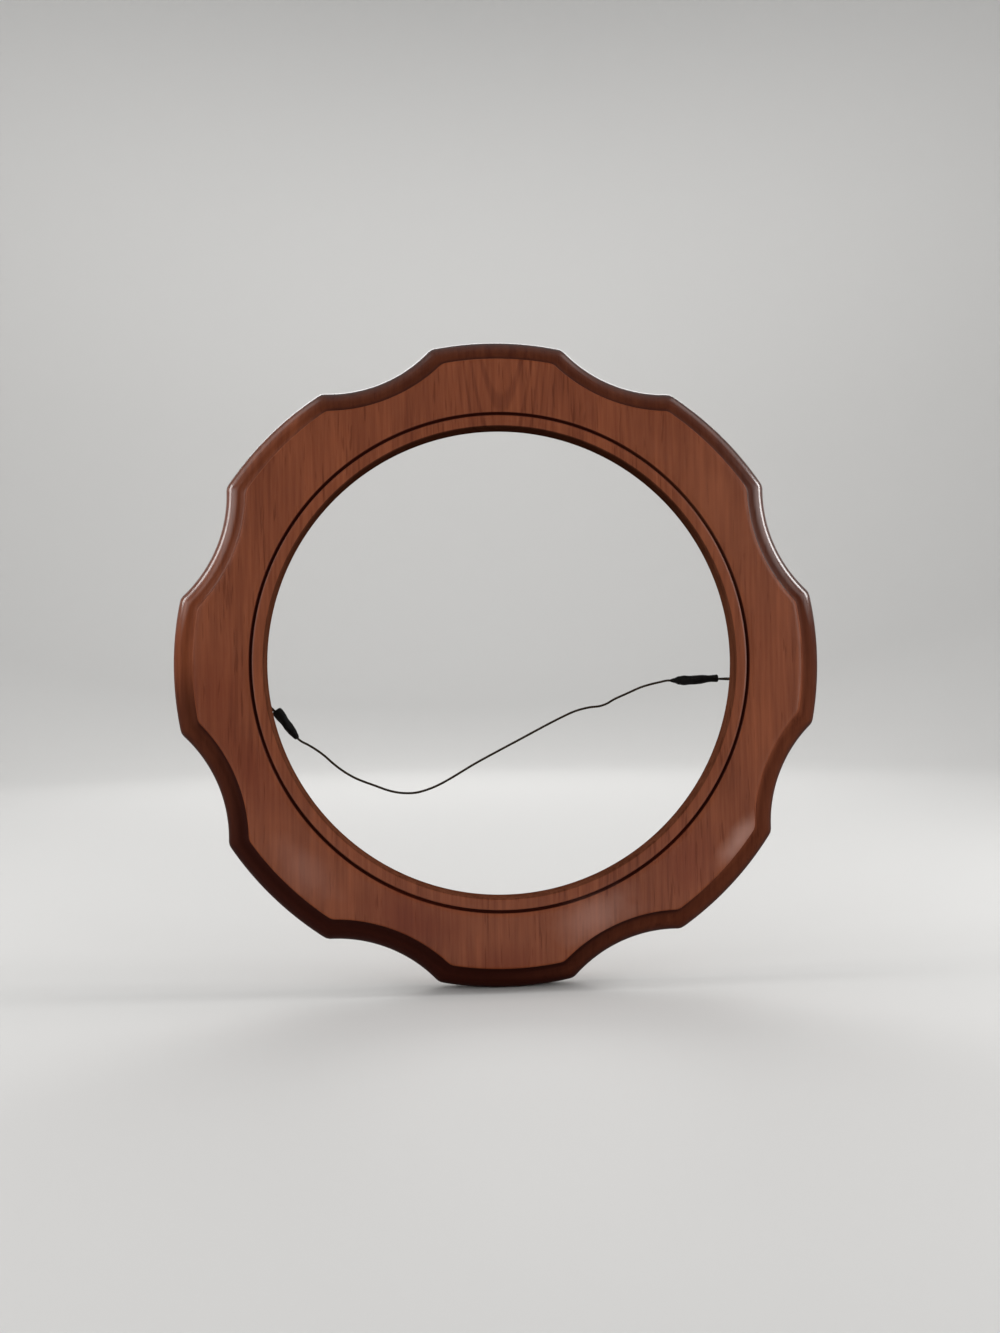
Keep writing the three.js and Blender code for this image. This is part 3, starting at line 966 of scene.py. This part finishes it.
def makeScallopTree():
    sizes = {"Lobe Radius": "Float", "Lobe Count": "Int", "Lobe Angle": "Float", "Sagitta": "Float",
             "Corner Radius": "Float", "Moulding Width": "Float", "Face Radius": "Float",
             "Front Finish": "Material", "Inner Finish": "Material", "Back Finish": "Material"}
    tree, start, end = newGeometryTree("scallopedRim", sizes)
    given = {label: value(start, label) for label in sizes}
    rim, corner = given["Lobe Radius"], given["Corner Radius"]
    position = addNode(tree, "GeometryNodeInputPosition").outputs[0]
    split = addNode(tree, "ShaderNodeSeparateXYZ", {"Vector": position})
    x, y, z = (value(split, axis) for axis in "XYZ")
    radius = (x * x + z * z).apply("SQRT")
    turn = z.apply("ARCTAN2", x)

    # circles of the lobes and of the scallops between them
    halfPitch = given["Lobe Count"] ** -1.0 * math.pi
    scallopHalf = halfPitch - given["Lobe Angle"] / 2
    chordHalf = rim * scallopHalf.apply("SINE")
    hollow = (chordHalf * chordHalf + given["Sagitta"] ** 2) / (given["Sagitta"] * 2)
    centre = rim * scallopHalf.apply("COSINE") - given["Sagitta"] + hollow

    # outline at this distance inwards from the rim, at this angle from a lobe's middle
    away = turn.apply("WRAP", halfPitch, halfPitch * -1).apply("ABSOLUTE")
    inset = (rim - radius).apply("MINIMUM", given["Moulding Width"])
    lobe = rim - inset
    scallop = hollow + inset
    lobeIn = lobe - corner
    scallopOut = scallop + corner
    cosine = (lobeIn * lobeIn + centre * centre - scallopOut * scallopOut) / (lobeIn * centre * 2)
    half = halfPitch - cosine.apply("ARCCOSINE")
    share = corner / scallopOut
    touchX = lobeIn * half.apply("COSINE") * (1 - share) + centre * halfPitch.apply("COSINE") * share
    touchY = lobeIn * half.apply("SINE") * (1 - share) + centre * halfPitch.apply("SINE") * share
    touch = touchY.apply("ARCTAN2", touchX)
    offLobe = away - half
    reach = (corner * corner - (lobeIn * offLobe.apply("SINE")) ** 2).apply("MAXIMUM", 0.0)
    roundCorner = lobeIn * offLobe.apply("COSINE") + reach.apply("SQRT")
    offScallop = halfPitch - away
    dip = (scallop * scallop - (centre * offScallop.apply("SINE")) ** 2).apply("MAXIMUM", 0.0)
    inScallop = centre * offScallop.apply("COSINE") - dip.apply("SQRT")
    onLobe = away.apply("LESS_THAN", half)
    pastCorner = away.apply("GREATER_THAN", touch)
    onCorner = 1 - onLobe - pastCorner
    outline = lobe * onLobe + roundCorner * onCorner + inScallop * pastCorner

    # the flat face and back run from the moulding's edge to the round groove
    faceWidth = rim - given["Moulding Width"] - given["Face Radius"]
    inwards = ((rim - given["Moulding Width"] - radius) / faceWidth).clamped()
    inside = radius.apply("LESS_THAN", given["Face Radius"])
    outside = outline * (1 - inwards) + given["Face Radius"] * inwards
    scale = (radius * inside + outside * (1 - inside)) / radius
    moved = addNode(tree, "ShaderNodeCombineXYZ", {"X": x * scale, "Y": y, "Z": z * scale})
    noted = addNode(tree, "GeometryNodeStoreNamedAttribute", {
        "Geometry": start.outputs["Geometry"],
        "Name": "inset",  # the front finish reads it
        "Value": rim - radius,
    })
    placed = {"Geometry": noted.outputs[0], "Position": moved.outputs[0]}
    cut = addNode(tree, "GeometryNodeSetPosition", placed)
    coated = addNode(tree, "GeometryNodeRealizeInstances", {"Geometry": cut.outputs[0]})

    # the finishes meet on the opening's eased edge and at the back's outer edge
    slack = 0.01 * mm
    ledge = (ringSettings["lipDepth"] - ringSettings["depth"]) * mm
    atBack = y.apply("GREATER_THAN", -slack)
    inRabbet = y.apply("GREATER_THAN", ledge - slack)
    inRabbet = inRabbet * radius.apply("LESS_THAN", ringSettings["rabbetRadius"] * mm + slack)
    wallEdge = (ringSettings["openingRadius"] + ringSettings["openingEase"] * 0.7) * mm
    coats = {
        "Front Finish": True,
        "Inner Finish": radius.apply("LESS_THAN", wallEdge) * (1 - inRabbet),
        "Back Finish": atBack.apply("MAXIMUM", inRabbet),
    }
    for label, where in coats.items():
        inputs = {"Geometry": coated.outputs[0], "Material": given[label], "Selection": where}
        coated = addNode(tree, "GeometryNodeSetMaterial", inputs)
    plug(tree, coated.outputs[0], end.inputs[0])
    return tree


def makeRing(settings):
    profile = ringProfile(settings)
    turns = turnsRound(settings["stations"])
    rings = [[aroundAxis(r, y, turn) for r, y in profile] for turn in turns]
    ring = skinRings("scalloped_ring", rings, joined=True)
    for finish in (frontFinish, innerFinish, backFinish):
        ring.data.materials.append(finish)
    bakeTree(ring, makeScallopTree(), {
        "Lobe Radius": settings["lobeRadius"] * mm,
        "Lobe Count": settings["lobeCount"],
        "Lobe Angle": math.radians(settings["lobeAngle"]),
        "Sagitta": settings["sagitta"] * mm,
        "Corner Radius": settings["cornerRadius"] * mm,
        "Moulding Width": mouldingWidth * mm,
        "Face Radius": faceRadius * mm,
        "Front Finish": frontFinish,
        "Inner Finish": innerFinish,
        "Back Finish": backFinish,
    })
    smoothShade(ring, 40)
    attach(ring, "ring")
    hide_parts("frame_ring")
    print("ring made:", len(profile), "points in its profile,", len(ring.data.polygons), "faces")


makeRing(ringSettings)


def eyePath(s):
    ringY = wireY - s["curlRadius"]
    tip = -s["screwLength"]
    shank = [tip, tip + s["pointLength"], *s["shankStops"], ringY - s["bend"]]
    path = [Vector((0, y, 0)) for y in shank]
    for turn in quarterTurns(s["bendSteps"])[:-1]:
        y = ringY - s["bend"] * (1 - math.sin(turn))
        path.append(Vector((0, y, s["bend"] * (1 - math.cos(turn)))))
    first = math.asin(s["bend"] / s["curlRadius"])
    last = math.tau - math.radians(s["opening"])
    for i in range(s["curlSteps"] + 1):
        turn = first + (last - first) * i / s["curlSteps"]
        y = wireY - s["curlRadius"] * math.cos(turn)
        path.append(Vector((0, y, s["curlRadius"] * math.sin(turn))))
    path.append(path[-1] + (path[-1] - path[-2]).normalized() * s["cutLength"])
    return path


def makeScrewEye(hand, side, s):
    path = eyePath(s)
    radii = [s["wireRadius"]] * len(path)
    radii[0] *= s["pointShare"]
    radii[-1] *= s["cutShare"]
    place = Vector((side * s["x"], 0, s["z"]))
    aside = Vector((1, 0, 0))
    rings = []
    for i, (point, radius) in enumerate(zip(path, radii)):
        ahead = path[min(i + 1, len(path) - 1)] - path[max(i - 1, 0)]
        up = ahead.normalized().cross(aside)
        ring = []
        for turn in turnsRound(s["sides"]):
            around = aside * math.cos(turn) + up * math.sin(turn)
            ring.append((place + point + around * radius) * mm)
        rings.append(ring)
    eye = skinRings(hand + "_eye", rings)
    eye.data.materials.append(brassFinish)
    smoothShade(eye, 45)
    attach(eye, "ring")
    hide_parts(hand + "_screw_eye")


makeScrewEye("left", -1, eyeSettings)
makeScrewEye("right", 1, eyeSettings)
print("screw eyes made")


# Turn buttons: stamped strips with a round hole and a tip that turns up
buttonSettings = {
    "reach": 24,
    "rootRadius": 6,
    "tipRadius": 4,
    "thickness": 1.2,
    "bendLength": 7,
    "liftHeight": 2.2,
    "holeRadius": 1.9,
    "gap": 0.3,  # to the ring's back
    "edge": 0.3,  # rounding of the stamped edge
    "spokes": 112,
    "bands": 18,
}
pivots = {}
for joint in frame["joints"]:
    if joint["child"].startswith("button_"):
        pivots[joint["child"].replace("button_", "")] = Vector(joint["pos_m"]) / mm


def stripReach(turn, s):  # distance from the pivot to the strip's outline
    tipX = s["reach"] - s["tipRadius"]
    lean = math.acos((s["rootRadius"] - s["tipRadius"]) / tipX)
    turn = abs((turn + math.pi) % math.tau - math.pi)
    tipEdge = Vector((tipX + s["tipRadius"] * math.cos(lean), s["tipRadius"] * math.sin(lean)))
    if turn >= lean:
        return s["rootRadius"]
    if turn >= math.atan2(tipEdge.y, tipEdge.x):
        return s["rootRadius"] / math.cos(turn - lean)
    return tipX * math.cos(turn) + math.sqrt(s["tipRadius"] ** 2 - (tipX * math.sin(turn)) ** 2)


def stripLift(x, s):  # how high the strip's underside is here
    past = x - (s["reach"] - s["bendLength"])
    if past <= 0:
        return 0.0
    over = s["thickness"]
    share = (-s["bendLength"] + math.sqrt(s["bendLength"] ** 2 + 4 * over * past)) / (2 * over)
    return s["liftHeight"] * (1 + over / s["bendLength"]) * share ** 2


# Section of the strip from its hole to its outline: shift outwards, height, share of the way
def stripSection(s):
    edge, top = s["edge"], s["thickness"]
    eased = edge * 0.3  # middle of a rounding
    bands = [i / s["bands"] for i in range(1, s["bands"])]
    section = [(0, edge, 0), (0, top - edge, 0), (eased, top - eased, 0), (edge, top, 0)]
    section += [(0, top, share) for share in bands]
    section += [(-edge, top, 1), (-eased, top - eased, 1), (0, top - edge, 1), (0, edge, 1)]
    section += [(-eased, eased, 1), (-edge, 0, 1)]
    section += [(0, 0, 1 - share) for share in bands]
    return section + [(edge, 0, 0), (eased, eased, 0)]


def makeTurnButton(corner, pivot, s):
    rest = math.atan2(pivot.z, pivot.x) + math.radians(90)  # put away along the rim
    section = stripSection(s)
    rings = []
    for turn in turnsRound(s["spokes"]):
        width = stripReach(turn, s) - s["holeRadius"]
        ring = []
        for shift, height, share in section:
            r = s["holeRadius"] + width * share + shift
            y = s["gap"] + height + stripLift(r * math.cos(turn), s)
            ring.append(aroundAxis(r, y, turn + rest) + Vector((pivot.x, 0, pivot.z)) * mm)
        rings.append(ring)
    button = skinRings("turn_" + corner, rings, joined=True)
    button.data.materials.append(zincFinish)
    smoothShade(button, 45)
    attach(button, "button_" + corner)
    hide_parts("turn_button_" + corner)


for corner, pivot in pivots.items():
    makeTurnButton(corner, pivot, buttonSettings)
print("turn buttons made")


# Round-head screws on the pivots: one slotted screw, set on four points
screwSettings = {
    "radius": 1.6,
    "length": 12,
    "pointLength": 4,
    "pointRadius": 0.05,
    "headRadius": 3.5,
    "headHeight": 2.3,
    "headY": 1.8,
    "headEase": 0.15,
    "crownRadius": 0.02,
    "crownSteps": 12,
    "slotWidth": 0.9,
    "slotDepth": 1,
    "slotTurns": {"upper_right": 20, "upper_left": 105, "lower_left": 62, "lower_right": 150},
    "sides": 48,
}


def makeScrewPattern(s):
    headY, head, ease = s["headY"], s["headRadius"], s["headEase"]
    tip = headY - s["length"]
    profile = [(s["pointRadius"], tip), (s["radius"], tip + s["pointLength"]), (s["radius"], headY)]
    profile += [(head - ease, headY), (head, headY + ease)]
    for turn in quarterTurns(s["crownSteps"]):
        r = max(head * math.cos(turn), s["crownRadius"])
        profile.append((r, headY + s["headHeight"] * math.sin(turn)))
    turns = turnsRound(s["sides"])
    screw = skinRings("screwPattern", [[aroundAxis(r, y, turn) for turn in turns] for r, y in profile])
    topY = headY + s["headHeight"]
    low, high = topY - s["slotDepth"], topY + s["slotDepth"]
    half = s["slotWidth"] / 2
    section = [(low, -half), (low, half), (high, half), (high, -half)]
    ends = [[Vector((x, y, z)) * mm for y, z in section] for x in (-2 * head, 2 * head)]
    cutter = skinRings("slotCutter", ends)
    cut = screw.modifiers.new("slot", "BOOLEAN")
    cut.operation = "DIFFERENCE"
    cut.object = cutter
    bakeModifiers(screw)
    bpy.data.objects.remove(cutter)
    return screw


def makeScrewTree(material):
    tree, start, end = newGeometryTree("screwsOnPivots", {"Screw": "Object"})
    pattern = addNode(tree, "GeometryNodeObjectInfo", {"Object": start.outputs["Screw"]})
    turn = addNode(tree, "GeometryNodeInputNamedAttribute", {"Name": "slotTurn"}, data_type="FLOAT")
    angles = addNode(tree, "ShaderNodeCombineXYZ", {"Y": turn.outputs["Attribute"]})
    rotation = addNode(tree, "FunctionNodeEulerToRotation", {"Euler": angles.outputs[0]})
    points = addNode(tree, "GeometryNodeMeshToPoints", {"Mesh": start.outputs["Geometry"]})
    placed = addNode(tree, "GeometryNodeInstanceOnPoints", {
        "Points": points.outputs[0],
        "Instance": pattern.outputs["Geometry"],
        "Rotation": rotation.outputs[0],
    })
    endTree(tree, end, placed.outputs[0], material)
    return tree


def makeScrews(s):
    pattern = makeScrewPattern(s)
    screws = meshObject("button_screws", [Vector((p.x, 0, p.z)) * mm for p in pivots.values()])
    turns = screws.data.attributes.new("slotTurn", "FLOAT", "POINT")
    for i, corner in enumerate(pivots):
        turns.data[i].value = math.radians(s["slotTurns"][corner])
    bakeTree(screws, makeScrewTree(brassFinish), {"Screw": pattern})
    bpy.data.objects.remove(pattern)
    smoothShade(screws, 35)
    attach(screws, "ring")
    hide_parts(*["button_screw_" + corner for corner in pivots])


makeScrews(screwSettings)
print("button screws made")


# Pale studio floor that runs up all round, and soft light from both sides of the camera
stageSettings = {
    "floorZ": ringLow.z,
    "flatRadius": 1.5,  # metres from here on
    "sweepRadius": 0.9,
    "sweepSteps": 12,
    "wallHeight": 2.2,
    "colour": (0.62, 0.615, 0.605, 1),
    "sides": 96,
    "worldColour": (0.86, 0.87, 0.88, 1),
    "worldStrength": 0.4,
}
lampSettings = {  # they aim at the ring's middle unless told otherwise
    "leftStrip": {"place": (-0.84, -0.05, 0.37), "size": (0.26, 0.34), "watts": 2.8},
    "rightStrip": {"place": (0.84, -0.06, 0.37), "size": (0.22, 0.34), "watts": 3.8},
    "leftKey": {"place": (-0.98, -0.82, 0.22), "size": (0.9, 0.65), "watts": 5.4},
    "rightKey": {"place": (0.98, -0.82, 0.22), "size": (0.9, 0.65), "watts": 5.9},
    "leftTop": {"place": (-0.7, -0.15, 0.75), "size": (0.5, 0.5), "watts": 0.9},
    "rightTop": {"place": (0.7, -0.15, 0.75), "size": (0.5, 0.5), "watts": 0.9},
    "backFill": {"place": (0.0, 1.3, 0.9), "size": (1.4, 0.7), "watts": 9},
    "wallWash": {"place": (0.0, 0.9, 1.5), "aim": (0, 2.4, 0.5), "size": (1.8, 0.5), "watts": 16},
}


# Paint that is clear from outside, so that the walls never hide the ring
def makeStagePaint(s):
    material, tree, shader = newMaterial("studioPaint")
    feed(shader, {"Base Color": s["colour"], "Roughness": 0.9, "Specular IOR Level": 0.1})
    clear = addNode(tree, "ShaderNodeBsdfTransparent")
    sides = addNode(tree, "ShaderNodeNewGeometry")
    mix = addNode(tree, "ShaderNodeMixShader", {
        0: sides.outputs["Backfacing"],
        1: shader.outputs[0],
        2: clear.outputs[0],
    })
    plug(tree, mix.outputs[0], tree.nodes["Material Output"].inputs["Surface"])
    return material


def makeStage(s):
    flat, sweep, count = s["flatRadius"], s["sweepRadius"], s["sides"]
    profile = [(mm, 0.0), (flat, 0.0)]
    for turn in quarterTurns(s["sweepSteps"]):
        profile.append((flat + sweep * math.sin(turn), sweep * (1 - math.cos(turn))))
    profile.append((flat + sweep, sweep + s["wallHeight"]))
    points = []
    for r, z in profile:
        points += [(r * math.cos(turn), r * math.sin(turn), s["floorZ"] + z) for turn in turnsRound(count)]
    faces = bandFaces(count, [(row + 1, row) for row in range(len(profile) - 1)])
    faces.append(tuple(range(count)))
    floor = meshObject("studio_floor", points, faces)
    floor.data.shade_smooth()
    floor.data.materials.append(makeStagePaint(s))
    world = bpy.data.worlds.new("studioWorld")
    scene.world = world
    world.use_nodes = True
    background = world.node_tree.nodes["Background"]
    feed(background, {"Color": s["worldColour"], "Strength": s["worldStrength"]})


def makeLamps(lamps):
    for name, s in lamps.items():
        data = bpy.data.lights.new(name, "AREA")
        data.shape = "RECTANGLE"
        data.size, data.size_y = s["size"]
        data.energy = s["watts"]
        lamp = bpy.data.objects.new(name, data)
        scene.collection.objects.link(lamp)
        lamp.location = s["place"]
        towards = Vector(s.get("aim", (0, 0, 0))) - lamp.location
        lamp.rotation_euler = towards.to_track_quat("-Z", "Y").to_euler()
        lamp.visible_camera = False


makeStage(stageSettings)
makeLamps(lampSettings)
print("stage and lamps made")
